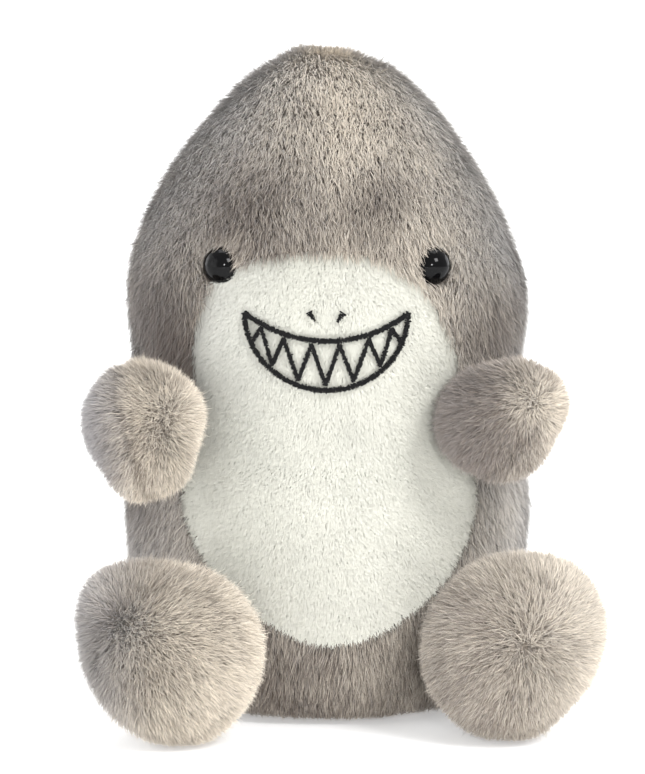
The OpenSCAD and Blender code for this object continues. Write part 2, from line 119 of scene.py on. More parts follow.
def on_wall(edge):
    ends = [floor.data.vertices[i].co for i in edge.vertices]
    return any(all(side * end[axis] > 0 for end in ends) for axis, side in walls)


for e in floor.data.edges:
    e.select = on_wall(e)
bpy.ops.object.mode_set(mode="EDIT")
bpy.ops.mesh.extrude_edges_move(TRANSFORM_OT_translate={"value": (0, 0, 1.5)})
bpy.ops.mesh.select_all(action="DESELECT")
bpy.ops.object.mode_set(mode="OBJECT")
for e in floor.data.edges:
    e.select = on_wall(e) and all(abs(floor.data.vertices[i].co.z) < 0.01 for i in e.vertices)
bpy.ops.object.mode_set(mode="EDIT")
bpy.ops.mesh.bevel(offset=0.8, segments=16)
bpy.ops.object.mode_set(mode="OBJECT")
bpy.ops.object.shade_smooth()
m, _, shader = new_material("white_card", "fbfbfb", 0.9, Emission_Strength=0.35)
shader.inputs["Emission Color"].default_value = (1, 1, 1, 1)
floor.data.materials.append(m)

world = bpy.data.worlds.new("studio")
bpy.context.scene.world = world
world.use_nodes = True
background = world.node_tree.nodes["Background"]
background.inputs["Color"].default_value = (1, 1, 1, 1)
background.inputs["Strength"].default_value = 0.82

for name, place, size, power in (
    ("key", (0.55, -0.75, 0.75), 0.35, 7.5),
    ("front", (0.09, -0.95, 0.26), 0.1, 2.4),
    ("fill", (-0.8, -0.5, 0.35), 0.7, 1.4),
    ("top", (0.05, 0.25, 0.95), 0.7, 5.0),
    ("rim_left", (-0.85, 0.5, 0.3), 0.5, 1.2),
    ("rim_right", (0.85, 0.5, 0.3), 0.5, 2.0),
):
    lamp = bpy.data.lights.new(name, "AREA")
    lamp.size = size
    lamp.energy = power
    lamp_object = bpy.data.objects.new(name, lamp)
    lamp_object.location = place
    aim = Vector((0, 0, 0.06)) - Vector(place)
    lamp_object.rotation_euler = aim.to_track_quat("-Z", "Y").to_euler()
    bpy.context.collection.objects.link(lamp_object)


# Body cloth: the knitted backing of the plush, cut as a left and a right grey panel and a
# white face and belly panel, and sewn into one bag. It is a thin sheet, about the colour of
# the roots of the pile, and each panel is a grid laid on the bag's own round shape.
bag_top = 126  # the height of the crown, in mm
cross_seam = 47.6  # the height of the seam between the face and the belly
eye_x, eye_height = 20.6, 87.6  # from the middle of the face, and from the floor
bag_rows = np.array(
    [
        [0, 26, 24.5, 25], [1.6, 30.5, 28.5, 28.5], [6, 34.5, 31.7, 31.5], [14, 37.2, 34, 34],
        [27, 38.4, 35.2, 35.4], [40, 38.6, 35.6, 35.2], [50, 37.6, 34.8, 34], [59, 37, 34.6, 33],
        [68, 37.4, 35.8, 32.6], [78, 38.4, 36, 32.4], [86, 38, 34.6, 31.2], [94, 35.3, 31.8, 29.4],
        [101, 31.6, 28.4, 27.1], [108, 26.8, 23.8, 23.8], [114, 22.1, 19.5, 20],
        [119, 17.4, 15.2, 15.8], [122.6, 13, 11.3, 11.8], [124.9, 8.2, 7.1, 7.4],
        [125.9, 3.6, 3.1, 3.3], [bag_top, 0.6, 0.5, 0.5],
    ]
)  # height, half width, depth in front and depth behind, in mm
white_rows = np.array(
    [
        [16.4, -2, 3], [17.4, -8, 10], [19.4, -14, 18], [23, -23, 27], [28, -32, 36],
        [34, -40, 43.5], [41, -46.5, 48.5], [cross_seam, -47.5, 49], [55, -45, 47.5],
        [63, -42.5, 44.5], [72, -42.5, 40], [79, -39.5, 33.5], [84, -35, 27],
        [87.4, -29, 21], [89.4, -22, 14.5], [90.2, -15, 9], [90.6, -6, 3],
    ]
)  # height, and the angles of the white panels' left and right edges


def bag_row(u):
    """A row of the bag at u rows from the first, on a smooth curve through all of them."""
    i = np.clip(np.floor(u).astype(int), 0, len(bag_rows) - 2)
    t = (u - i)[..., None]
    a, b, c, d = (bag_rows[np.clip(i + k, 0, len(bag_rows) - 1)] for k in (-1, 0, 1, 2))
    return b + 0.5 * t * (c - a + t * (2 * a - 5 * b + 4 * c - d + t * (3 * (b - c) + d - a)))


fine_u = np.linspace(0, len(bag_rows) - 1, 4000)
fine_z = np.maximum.accumulate(bag_row(fine_u)[:, 0])


def bag_place(z, angle):
    """Points of the bag's outer surface in mm, at a height and an angle round from the front."""
    r = bag_row(np.interp(z, fine_z, fine_u))
    # The bag closes round the crown in its last 0.1 mm
    r[..., 1:] *= np.sqrt(np.clip((bag_top - z) / 0.1, 0, 1))[..., None]
    s, c = np.sin(np.radians(angle)), np.cos(np.radians(angle))
    return np.stack(
        [bag_x + r[..., 1] * s, bag_y - c * np.where(c > 0, r[..., 2], r[..., 3]), r[..., 0]], -1
    )


def unit(v):
    return v / np.maximum(np.linalg.norm(v, axis=-1, keepdims=True), 1e-9)


def slopes(place, u, v, du, dv, u_limits):
    """Unit directions of growing u and v and the normal of a surface at (u, v)."""
    along_u = place(np.clip(u + du, *u_limits), v) - place(np.clip(u - du, *u_limits), v)
    along_v = place(u, v + dv) - place(u, v - dv)
    return unit(along_u), unit(along_v), unit(np.cross(along_v, along_u))


def bag_slopes(z, angle):
    return slopes(bag_place, z, angle, 0.25, 0.5, (0.02, bag_top - 0.02))


def waves(p, size, seed):
    """Smooth noise of about -1 to 1 at points in mm, with bumps of about that size."""
    r = np.random.default_rng(seed)
    total = np.zeros(p.shape[:-1])
    for _ in range(7):
        way = unit(r.normal(size=3)) * 2 * np.pi / (size * r.uniform(1.4, 3.2))
        total += np.sin(p @ way + r.uniform(0, 6.28)) * np.cos(
            p @ np.roll(way, 1) * 0.7 + r.uniform(0, 6.28)
        )
    return total / 2.6


def bag_sag(p):
    """How far the stuffed bag stands out from its plain shape, in mm: soft lumps, a flatter
    right temple, a small tuft at the crown and a dip beside it. It lies flat round each eye."""
    x, z = p[..., 0] - bag_x, p[..., 2]
    calm = 1 - np.exp(-(((np.abs(x) - eye_x) / 7) ** 2) - ((z - eye_height) / 7) ** 2)
    return (
        0.5 * waves(p, 15, 3) * calm
        - 1.6 * np.exp(-(((x - 36) / 9) ** 2) - ((z - 91) / 11) ** 2)
        + 1.1 * np.exp(-(((x + 4.5) / 4) ** 2) - ((z - bag_top) / 4) ** 2)
        - 0.7 * np.exp(-(((x - 7.5) / 3.5) ** 2) - ((z - 125) / 3) ** 2)
    )


def cloth(name, grid, thickness=0.5, closed=False):
    """A thin cloth from a grid primitive whose points are laid at grid[row][column], in mm."""
    rows, cols = grid.shape[:2]
    bpy.ops.mesh.primitive_grid_add(x_subdivisions=cols - 1, y_subdivisions=rows - 1, size=1)
    o = bpy.context.object
    o.name = o.data.name = name
    o.data.vertices.foreach_set("co", (grid.reshape(-1, 3) / 1000).ravel())
    o.data.update()
    if closed:
        bpy.ops.object.mode_set(mode="EDIT")
        bpy.ops.mesh.select_all(action="SELECT")
        bpy.ops.mesh.remove_doubles(threshold=0.00002)
        bpy.ops.object.mode_set(mode="OBJECT")
    if thickness:
        wall = o.modifiers.new("wall", "SOLIDIFY")
        wall.thickness = thickness / 1000
        wall.offset = -1
        bpy.ops.object.modifier_apply(modifier="wall")
    bpy.ops.object.shade_smooth()
    return o


def weave(name, dark, light):
    """Knitted polyester backing: matt, with 0.8 mm wales drawn in bump and in colour."""
    m, tree, shader = new_material(name, dark, 0.9, Sheen_Weight=0.15)
    where = add_node(tree, "ShaderNodeTexCoord")
    loops = add_node(
        tree, "ShaderNodeTexVoronoi", None, {"Scale": 1250.0}, {"Vector": where.outputs["Object"]}
    )
    mix = add_node(
        tree,
        "ShaderNodeMix",
        {"data_type": "RGBA"},
        {6: linear(dark), 7: linear(light)},
        {0: loops.outputs["Distance"]},
    )
    tree.links.new(mix.outputs[2], shader.inputs["Base Color"])
    bump = add_node(
        tree,
        "ShaderNodeBump",
        None,
        {"Strength": 0.4, "Distance": 0.0002},
        {"Height": loops.outputs["Distance"]},
    )
    tree.links.new(bump.outputs["Normal"], shader.inputs["Normal"])
    return m


grey_knit = weave("grey_knit_backing", "665e57", "857c73")
white_knit = weave("white_knit_backing", "cfcec5", "dad9d0")
root_depth = 1.8


def panel_grid(heights, left, right, cols, depth):
    """A panel's points, in rows at the heights that run from one edge's angle to the other's,
    at a depth under the tips of the pile."""
    z = np.repeat(np.array(heights, float)[:, None], cols, 1)
    share = np.linspace(0, 1, cols)[None, :]
    angle = np.array(left)[:, None] * (1 - share) + np.array(right)[:, None] * share
    p = bag_place(z, angle)
    return p + (bag_sag(p) - depth)[..., None] * bag_slopes(z, angle)[2]


def white_edges(z):
    """The angles of the white panels' left and right edges at a height."""
    return (
        np.interp(z, white_rows[:, 0], white_rows[:, 1]),
        np.interp(z, white_rows[:, 0], white_rows[:, 2]),
    )


# The rows of the grey panels go through every bend of the white edge, then up to the crown,
# with one more row half-way between each two
tall = np.concatenate(
    [[0.2, 1, 2.5, 5, 8, 11, 13.5, 16], white_rows[:, 0], [91, 94, 98, 102, 106, 110, 113.5],
     [116.5, 119, 121, 122.8, 124.2, 125.1, 125.7, 125.9, bag_top]]
)
tall = np.interp(np.arange(0, len(tall) - 0.5, 0.5), np.arange(len(tall)), tall)
has_white = (tall > 16.2) & (tall < 90.8)
front_left, front_right = (np.where(has_white, e, 0) for e in white_edges(tall))
for name, a, b in (
    ("cloth_back_left", front_left - 0.3, np.full(len(tall), -179.7)),
    ("cloth_back_right", np.full(len(tall), 179.7), front_right + 0.3),
):
    o = cloth(name, panel_grid(tall, b, a, 28, root_depth + 0.1))
    o.data.materials.append(grey_knit)
    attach(o, "torso")

half_rows = np.interp(np.arange(0, 16.1, 0.5), np.arange(17), white_rows[:, 0])
seam_row = 14  # the row on the cross seam, which both panels have
for name, part in (
    ("cloth_face", half_rows[seam_row:]), ("cloth_belly", half_rows[: seam_row + 1]),
):
    a, b = white_edges(part)
    o = cloth(name, panel_grid(part, a + 0.3, b - 0.3, 32, root_depth + 0.3))
    o.data.materials.append(white_knit)
    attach(o, "torso")


# Grey pile: long soft polyester plush, combed down from the crown, mottled from taupe to
# sand, with painted light and shade over the bag and a painted cool rim light at the sides.
# Each hair is a tapered blade that leaves the cloth steeply and bends over, and neighbouring
# hairs lean together in small wisps.
def scatter(place, u_span, v_span, count, random, weight=None, cells=260):
    """Random (u, v) places on a surface, equally dense over its area times weight(u, v)."""
    u = np.linspace(*u_span, cells + 1)
    v = np.linspace(*v_span, cells + 1)
    p = place(*np.meshgrid(u, v, indexing="ij"))
    area = np.linalg.norm(
        np.cross(p[1:, :-1] - p[:-1, :-1], p[:-1, 1:] - p[:-1, :-1]), axis=-1
    )
    if weight is not None:
        mid = np.meshgrid((u[1:] + u[:-1]) / 2, (v[1:] + v[:-1]) / 2, indexing="ij")
        area = area * weight(*mid)
    total = np.cumsum(area.ravel())
    cell = np.searchsorted(total, random.random(count) * total[-1])
    row, col = cell // cells, cell % cells
    return (
        u[0] + (row + random.random(count)) * (u[-1] - u[0]) / cells,
        v[0] + (col + random.random(count)) * (v[-1] - v[0]) / cells,
    )


def fur(name, root, normal, comb, length, width, shade, cool, random,
        lift=52, lay=18, stray=12, wisp=1.2, gather=0.18, balls=(), even_light=0.0):
    """Hairs as one mesh. lift and lay are the angles from the cloth at the root and the tip;
    stray is how far a hair's way wanders; hairs within wisp mm of each other lean together;
    balls are (centre, radius) of hard parts that the hairs lie over; even_light turns the
    shading of the hairs towards that of the cloth, for a short pile that looks smooth."""
    n = len(root)
    side = unit(np.cross(normal, comb))
    comb = np.cross(side, normal)
    turn = np.radians(random.normal(0, stray, n) + 12 * waves(root, 9, 5))[:, None]
    comb = comb * np.cos(turn) + side * np.sin(turn)
    # One hair in twelve stands up from the rest
    stand = 20.0 * (random.random(n) < 0.085)
    up = np.radians(lift + stand + random.normal(0, 9, n))[:, None]
    over = np.radians(lay + stand + random.normal(0, 9, n))[:, None]
    length = length[:, None]
    middle = root + 0.5 * length * (normal * np.sin(up) + comb * np.cos(up))
    tip = middle + 0.5 * length * (normal * np.sin(over) + comb * np.cos(over))
    # Wisps: each small cube of space has one point that the tips of its hairs lean to
    cube = np.floor(root / wisp + 0.37 * random.random((n, 3)))
    scramble = np.array([[12.9, 78.2, 37.7], [39.3, 11.1, 83.1], [73.1, 52.2, 9.1]])
    mixed = np.sin(cube @ scramble) * 43758.5
    goal = (cube + (mixed - np.floor(mixed))) * wisp
    pull = goal - root
    pull -= normal * np.sum(pull * normal, -1, keepdims=True)
    tip = tip + gather * pull
    middle = middle + 0.4 * gather * pull
    twist = 0.35 * (1 - 0.8 * even_light) * random.normal(size=(n, 3))
    flat = unit(np.cross(tip - root, normal) + twist)
    flat *= np.where(np.sum(np.cross(flat, tip - root) * normal, -1, keepdims=True) < 0, -1, 1)
    half = flat * width[:, None] / 2
    points = np.stack([root - 0.8 * half, root + 0.8 * half, middle - half, middle + half, tip], 1)
    for centre, radius in balls:
        away = points[:, 2:] - centre
        far = np.linalg.norm(away, axis=-1, keepdims=True)
        points[:, 2:] += away / far * np.maximum(0, radius - far)
    # Hairs that would go through the table lie on it
    points[..., 2] = np.maximum(points[..., 2], 0.05 + 0.25 * random.random((n, 1)))
    mesh = bpy.data.meshes.new(name)
    mesh.vertices.add(5 * n)
    mesh.vertices.foreach_set("co", (points / 1000).astype(np.float32).ravel())
    start = (5 * np.arange(n))[:, None]
    corners = (start + np.array([[0, 1, 3, 2, 2, 3, 4]])).ravel()
    mesh.loops.add(7 * n)
    mesh.loops.foreach_set("vertex_index", corners.astype(np.int32))
    mesh.polygons.add(2 * n)
    mesh.polygons.foreach_set(
        "loop_start", ((7 * np.arange(n))[:, None] + np.array([[0, 4]])).ravel().astype(np.int32)
    )
    mesh.update(calc_edges=True)
    if even_light:
        facing = unit(np.cross(flat, tip - root))
        facing = unit(even_light * normal + (1 - even_light) * facing)
        mesh.normals_split_custom_set_from_vertices(np.repeat(facing, 5, axis=0))
    for key, value in (("shade", shade), ("cool", cool)):
        a = mesh.attributes.new(key, "FLOAT", "POINT")
        a.data.foreach_set("value", np.repeat(value, 5).astype(np.float32))
    a = mesh.attributes.new("along", "FLOAT", "POINT")
    a.data.foreach_set("value", np.tile([0, 0, 0.5, 0.5, 1], n).astype(np.float32))
    # The painted map: a 32 by 32 board of squares by place, 8 hairs across each, root to tip up
    low_p, high_p = root.min(0), root.max(0)
    share = (root - low_p) / np.maximum(high_p - low_p, 1e-6) * 31.99
    across = np.where(normal[:, 1] > 0, 31.99 - share[:, 0], share[:, 0])
    column = random.integers(0, 8, n)
    u0 = (np.floor(across) + (column + 0.1) / 8) / 32
    v0 = (np.floor(share[:, 2]) + 0.05) / 32
    wide, high_v = 0.8 / 8 / 32, 0.9 / 32
    fan = np.array([[0, 0], [1, 0], [1, 0.5], [0, 0.5], [0, 0.5], [1, 0.5], [0.5, 1]])
    uv = np.stack([u0[:, None] + fan[:, 0] * wide, v0[:, None] + fan[:, 1] * high_v], -1)
    layer = mesh.uv_layers.new(name="OFBake")
    layer.data.foreach_set("uv", uv.astype(np.float32).ravel())
    o = bpy.data.objects.new(name, mesh)
    bpy.context.collection.objects.link(o)
    return o


def pile(name, root_tone, dark, light, cold, tip_gain, mottle=95.0):
    """Brushed polyester pile: soft sheen, dark at the root and paler at the tip, where a tip_gain
    over 1 is painted light for the light that shines through the fine ends. The shade attribute,
    dyed tone with painted light and shade, runs each hair from dark to light, and cool mixes in
    cold, which at the sides of the bag and the limbs is a painted cool rim light and on the
    white's left cheek painted shade. mottle is the noise scale of the dyed patches, which are
    about 10 mm across."""
    m, tree, shader = new_material(name, light, 0.62, Sheen_Weight=0.25, Sheen_Roughness=0.5)
    shader.inputs["Specular IOR Level"].default_value = 0.28
    where = add_node(tree, "ShaderNodeTexCoord")
    patches = add_node(
        tree, "ShaderNodeTexNoise", None, {"Scale": mottle, "Detail": 3.0, "Roughness": 0.6},
        {"Vector": where.outputs["Object"]},
    )
    shade, cool, along = (
        add_node(tree, "ShaderNodeAttribute", {"attribute_name": key})
        for key in ("shade", "cool", "along")
    )
    spread = add_node(
        tree, "ShaderNodeMath", {"operation": "MULTIPLY_ADD"}, {1: 0.8, 2: -0.4},
        {0: patches.outputs["Fac"]},
    )
    # The noise patches plus the shade attribute, which holds dyed tone and painted light and shade,
    # set each hair from dark to light
    total = add_node(
        tree, "ShaderNodeMath", {"operation": "ADD"}, None,
        {0: spread.outputs[0], 1: shade.outputs["Fac"]},
    )
    dye_shade_mix = add_node(
        tree, "ShaderNodeMapRange", None, {1: -0.15, 2: 1.0}, {0: total.outputs[0]}
    )
    dyed_shaded = add_node(
        tree, "ShaderNodeMix", {"data_type": "RGBA"}, {6: linear(dark), 7: linear(light)},
        {0: dye_shade_mix.outputs[0]},
    )
    cooled = add_node(
        tree, "ShaderNodeMix", {"data_type": "RGBA"}, {7: linear(cold)},
        {0: cool.outputs["Fac"], 6: dyed_shaded.outputs[2]},
    )
    # Dark at the root and paler at the tip; a tip_gain over 1 is painted light, for the light that
    # shines through the fine ends
    squared = add_node(
        tree, "ShaderNodeMath", {"operation": "POWER"}, {1: 2.0}, {0: along.outputs["Fac"]}
    )
    gain = add_node(
        tree, "ShaderNodeMapRange", None, {3: root_tone, 4: tip_gain}, {0: squared.outputs[0]}
    )
    lit = add_node(
        tree, "ShaderNodeVectorMath", {"operation": "SCALE"}, None,
        {0: cooled.outputs[2], 3: gain.outputs[0]},
    )
    tree.links.new(lit.outputs[0], shader.inputs["Base Color"])
    return m


grey_pile = pile("grey_plush_pile", 0.66, "5d524a", "d8cebf", "a6a4a4", 1.42)


def head_dye_and_shade(p):
    """Sand along the centre of the crown and down the right, darker beside the left eye, over the
    right brow, low on the left and round the bottom. This is partly the dyed patches of the
    pile and partly painted light and shade: painted light down the right, where the key lamp
    falls, and painted shade low on the left and round the bottom."""
    x, z = (p[:, 0] - bag_x) / 38, p[:, 2] / 126
    front = np.where(p[:, 1] < bag_y, 1.0, 0.4)

    def patch(at_x, at_z, wide, high):
        return np.exp(-(((x - at_x) / wide) ** 2) - ((z - at_z) / high) ** 2)

    stripe = np.exp(-(((x - 0.06) / 0.16) ** 2)) * np.clip((z - 0.68) * 6, 0, 1)
    return 0.47 + 0.22 * front * (
        1.9 * stripe + 2.0 * patch(0, 1.02, 0.6, 0.09) + 2.7 * patch(0.45, 0.9, 0.25, 0.13)
        - 2.2 * patch(-0.4, 0.77, 0.25, 0.08) - 2.4 * patch(0.26, 0.8, 0.19, 0.06)
        - 0.5 * patch(0.02, 0.76, 0.14, 0.05) - 0.8 * patch(-0.8, 0.8, 0.2, 0.1)
        + 1.0 * patch(0.8, 0.78, 0.15, 0.08) - 4.5 * patch(-0.82, 0.58, 0.3, 0.12)
        - 3.1 * patch(0.82, 0.6, 0.2, 0.1) + 2.2 * patch(0.95, 0.3, 0.25, 0.12)
        - 2.2 * patch(-0.95, 0.35, 0.2, 0.1) - 1.3 * patch(0, 0.05, 2.0, 0.12)
        - 0.6 * patch(-0.25, 0.05, 0.15, 0.1)
    )


def in_white(z, angle, grow=0.0):
    """Whether a place is on the white panels, grown by grow degrees at the sides and by
    0.3 mm for each of them above and below."""
    a, b = white_edges(z)
    bottom, top = white_rows[0, 0] - grow * 0.3, white_rows[-1, 0] + grow * 0.3
    return (z > bottom) & (z < top) & (angle > a - grow) & (angle < b + grow)


# The centre of each eye's ball, which sits in the bag, and the eye's place on the bag
eye_angle, eye_sunk, eye_clear = 33.0, 2.11, 3.6
eye_places = []
for at in (-eye_angle, eye_angle):
    z, angle = np.array([eye_height]), np.array([at])
    on_bag = bag_place(z, angle)[0]
    eye_places.append((on_bag - eye_sunk * bag_slopes(z, angle)[2][0], on_bag))

for number, (name, span, count, thick) in enumerate(
    (
        ("fur_left_front", (-95.0, 0.0), 64000, 0.14),
        ("fur_right_front", (0.0, 95.0), 64000, 0.14),
        ("fur_left_back", (-180.0, -95.0), 64000, 0.16),
        ("fur_right_back", (95.0, 180.0), 64000, 0.16),
    )
):
    random = np.random.default_rng(100 + number)
    z, angle = scatter(
        bag_place, (0.3, bag_top), span, count, random,
        lambda z, angle: np.where(in_white(z, angle), 0.0, 1.0),
    )
    keep = ~in_white(z, angle)
    for _, eye_place in eye_places:
        keep &= np.linalg.norm(bag_place(z, angle) - eye_place, axis=-1) > eye_clear
    z, angle = z[keep], angle[keep]
    up_z, round_way, normal = bag_slopes(z, angle)
    root = bag_place(z, angle)
    root = root + (bag_sag(root) - root_depth)[:, None] * normal
    # Combed away from a parting behind the crown, and a little out to each side
    parting = np.array([bag_x, bag_y + 17, 119])
    comb = unit(root - parting)
    comb = unit(comb - normal * np.sum(comb * normal, -1, keepdims=True))
    comb = unit(comb - up_z * np.interp(z, [98, 124], [4, 0.2])[:, None])
    # On the tapering head the pile hangs straight down rather than along the taper
    hang = 0.5 * np.interp(z, [78, 96, 112, 122], [0.1, 1, 1, 0]) * np.sin(np.radians(angle))
    comb = unit(comb - round_way * hang[:, None])
    # To the right of each eye the pile leans over its rim
    for _, eye_place in eye_places:
        near = np.exp(-((np.linalg.norm(root - eye_place, axis=-1) / 5.5) ** 2))
        near = 1.6 * near * np.clip((root[:, 0] - eye_place[0]) / 3, -0.3, 1)
        comb = unit(comb - near[:, None] * np.array([1.0, 0, 0]))
    length = 4.3 * random.uniform(0.75, 1.15, len(z)) * (1 + 0.1 * waves(root, 7, 9))
    length = np.where(random.random(len(z)) < 0.05, length * 1.25, length)
    length *= np.interp(z, [0, 6, 14], [0.5, 0.75, 1])
    for _, eye_place in eye_places:
        gap = np.linalg.norm(root - eye_place, axis=-1)
        length *= np.interp(gap, [eye_clear, 6.5], [0.62, 1])
    # The cool mix is a painted cool rim light towards the sides, a little more on the left and
    # weaker over dark patches
    side_share = np.abs(np.sin(np.radians(angle)))
    # Each hair's tone: the dyed patches, with painted light down the right and painted shade low on
    # the left and round the bottom
    patches_and_shade = head_dye_and_shade(root)
    # Round each eye the pile is painted lighter, painted light that lifts the shade on the short
    # hairs at its rim
    by_eye = np.min([np.linalg.norm(root - e, axis=-1) for _, e in eye_places], axis=0)
    o = fur(
        name, root, normal, comb, length, thick * random.uniform(0.7, 1.2, len(z)),
        patches_and_shade + random.normal(0, 0.22, len(z)) + 0.12 * waves(root, 14, 21)
        + 0.25 * np.exp(-((by_eye / 6.5) ** 2)),
        np.clip((0.75 * side_share**3 + 0.1 * (angle < 0)) * np.clip(0.3 + 1.7 * patches_and_shade, 0.1, 1)
        + random.normal(0, 0.12, len(z)), 0, 0.9),
        random, balls=[(c, 4.0) for c, _ in eye_places],
    )
    o.data.materials.append(grey_pile)
    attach(o, "torso")
    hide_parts("back_left" if "left" in name else "back_right")


# Fibrefill: loose crimped polyester fibre, pushed into the bag until it is firm. Each filling
# is remeshed from the space it is pushed into and given the soft lumps of loose fibre.
def lumpy(name, node, body):
    """A filling in the shape of a node, with its surface drawn in by up to 1 mm in lumps."""
    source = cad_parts[node]
    o = bpy.data.objects.new(name, source.data.copy())
    bpy.context.collection.objects.link(o)
    o.data.transform(source.matrix_world)
    o.data.materials.clear()
    pick(o)
    remesh = o.modifiers.new("remesh", "REMESH")
    remesh.mode = "VOXEL"
    remesh.voxel_size = 0.0011
    bpy.ops.object.modifier_apply(modifier="remesh")
    size = len(o.data.vertices)
    co, out = np.zeros(size * 3), np.zeros(size * 3)
    o.data.vertices.foreach_get("co", co)
    o.data.vertices.foreach_get("normal", out)
    co, out = co.reshape(-1, 3), out.reshape(-1, 3)
    inset = 0.45 + 0.25 * waves(co * 1000, 5, 31) + 0.12 * waves(co * 1000, 2, 37)
    co = co - out * np.clip(inset, 0.05, 1)[:, None] / 1000
    o.data.vertices.foreach_set("co", co.ravel())
    o.data.update()
    bpy.ops.object.shade_smooth()
    o.data.materials.append(fill_material)
    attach(o, body)
    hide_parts(node)


def speckled(name, dark, light, scale, roughness, bump=0.0, **sockets):
    """A plain material with a fine fleck in colour and, for bump, in relief. scale is the
    noise scale: 1000 gives flecks of about 1 mm."""
    m, tree, shader = new_material(name, light, roughness, **sockets)
    where = add_node(tree, "ShaderNodeTexCoord")
    fleck = add_node(
        tree, "ShaderNodeTexNoise", None, {"Scale": scale, "Detail": 2.0},
        {"Vector": where.outputs["Object"]},
    )
    mix = add_node(
        tree, "ShaderNodeMix", {"data_type": "RGBA"}, {6: linear(dark), 7: linear(light)},
        {0: fleck.outputs["Fac"]},
    )
    tree.links.new(mix.outputs[2], shader.inputs["Base Color"])
    if bump:
        relief = add_node(
            tree, "ShaderNodeBump", None, {"Strength": bump, "Distance": 0.0003},
            {"Height": fleck.outputs["Fac"]},
        )
        tree.links.new(relief.outputs["Normal"], shader.inputs["Normal"])
    return m


# Crimped white fibre: matt, with a fine fleck and a soft sheen
fill_material = speckled(
    "polyester_fibrefill", "dcdcd8", "fafaf8", 700.0, 0.95, 0.5, Sheen_Weight=0.3
)
lumpy("filling_body", "body_stuffing", "torso")


# Bean pouch: thin nonwoven cloth in two bowls sewn at the rim, in the foot of the bag, half
# filled with moulded polyethylene pellets that weigh the toy down so that it sits.
# Nonwoven polypropylene: matt off-white, with a fine felted fleck
pouch_cloth = speckled("pouch_nonwoven", "d2d2cc", "ecece8", 900.0, 0.9, 0.4)
pouch_rim, pouch_half = 20.5, 14.5  # the height of its seam, and how far each bowl reaches
for name, rim_z, end_z in (("pouch_upper", 20.6, 35.0), ("pouch_lower", 20.4, 6.0)):
    z = np.concatenate([np.linspace(rim_z, end_z, 12), np.full(5, end_z)])
    shrink = np.concatenate([np.ones(12), [0.8, 0.58, 0.36, 0.16, 0.005]])
    squeeze = shrink * (1 - 0.14 * (np.abs(z - pouch_rim) / pouch_half) ** 4)
    turn = np.linspace(-180, 180, 49)
    zz, aa = np.meshgrid(z, turn, indexing="ij")
    p = bag_place(zz, aa) - 4.6 * bag_slopes(zz, aa)[2]
    axis = np.array([bag_x, bag_y])
    p[..., :2] = axis + (p[..., :2] - axis) * squeeze[:, None, None]
    puckers = 0.25 * np.sin(np.radians(aa) * 18) * np.exp(-(((zz - pouch_rim) / 4) ** 2))
    p[..., :2] += (puckers + 0.2 * waves(p, 8, 41))[..., None] * unit(p[..., :2] - axis)
    o = cloth("sewn_" + name, p, 0.4, True)
    o.data.materials.append(pouch_cloth)
    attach(o, "torso")
    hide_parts(name)
# Polyethylene pellets: waxy off-white
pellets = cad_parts["bean_pellets"]
pellets.data.materials.clear()
pellets.data.materials.append(speckled("polyethylene_pellets", "e2e1da", "f2f1ec", 300.0, 0.4))


# Base: an oval of the grey plush sewn into the foot of the bag, its pile pressed flat where
# the toy sits on it.
rim_angle = np.linspace(-180, 180, 73)
share = np.array([1, 0.85, 0.68, 0.5, 0.32, 0.15, 0.01])[:, None]
rim = bag_place(np.full(73, 0.2), rim_angle)
middle = np.array([bag_x, bag_y, 0.2])
base_grid = middle + (rim[None] - middle) * 0.93 * share[..., None]
base_grid[..., 2] = 1.5
o = cloth("cloth_base", base_grid, 0.5, True)
o.data.materials.append(grey_knit)
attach(o, "torso")

random = np.random.default_rng(110)
count = 9000
turn, out = random.random(count) * 360, np.sqrt(random.random(count)) * 0.95
rim = bag_place(np.full(count, 0.2), turn)
root = middle + (rim - middle) * out[:, None]
root[:, 2] = 1.6
down = np.tile([0.0, 0.0, -1.0], (count, 1))
comb = unit(np.stack([np.sin(np.radians(turn)), -np.cos(np.radians(turn)), 0 * turn], -1))
o = fur(
    "fur_base", root, down, comb, random.uniform(2, 3.2, count), random.uniform(0.14, 0.22, count),
    0.35 + random.normal(0, 0.15, count), np.full(count, 0.2), random, lift=25, lay=5,
)
o.data.materials.append(grey_pile)
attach(o, "torso")
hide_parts("base_panel")


# Eyes: black acrylic safety eyes, polished, on a shank that goes through the cloth and
# is locked from inside by a plastic washer. They are hard parts and keep their own shape.
# Polished acrylic: deep black and glossy, with small sharp highlights
m, _, shader = new_material("black_acrylic", "050506", 0.08)
shader.inputs["Specular IOR Level"].default_value = 0.15
for side in ("left", "right"):
    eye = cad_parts["eye_" + side]
    eye.data.materials.clear()
    eye.data.materials.append(m)
# Moulded polypropylene: milky and half matt
m = speckled("washer_polypropylene", "dddbd3", "e8e6df", 600.0, 0.45)
for side in ("left", "right"):
    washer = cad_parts["eye_washer_" + side]
    washer.data.materials.clear()
    washer.data.materials.append(m)


# Embroidery: the grin, its teeth and the two nostrils, in black satin stitch through the white
# pile. One low rounded bar is a pass of the thread; it is copied side by side along each line.
def on_face(x, z):
    """The height and the angle on the bag of a point x mm right of the mouth's middle."""
    z = np.asarray(z, float)
    r = bag_row(np.interp(z, fine_z, fine_u))
    return z, np.degrees(np.arcsin((np.asarray(x, float) - 0.3) / r[..., 1]))


grin, grin_top, dip, jaw = 15.4, 78.6, 5.0, 14.3
lip_radius = (grin**2 + dip**2) / (2 * dip)


def lip_z(x):
    """The upper edge of the grin, an arc that dips in the middle."""
    return grin_top - dip + lip_radius - np.sqrt(lip_radius**2 - x * x)


def jaw_z(x):
    """The lower edge of the grin, half an ellipse."""
    return grin_top - jaw * np.sqrt(np.maximum(0, 1 - (x / grin) ** 2))


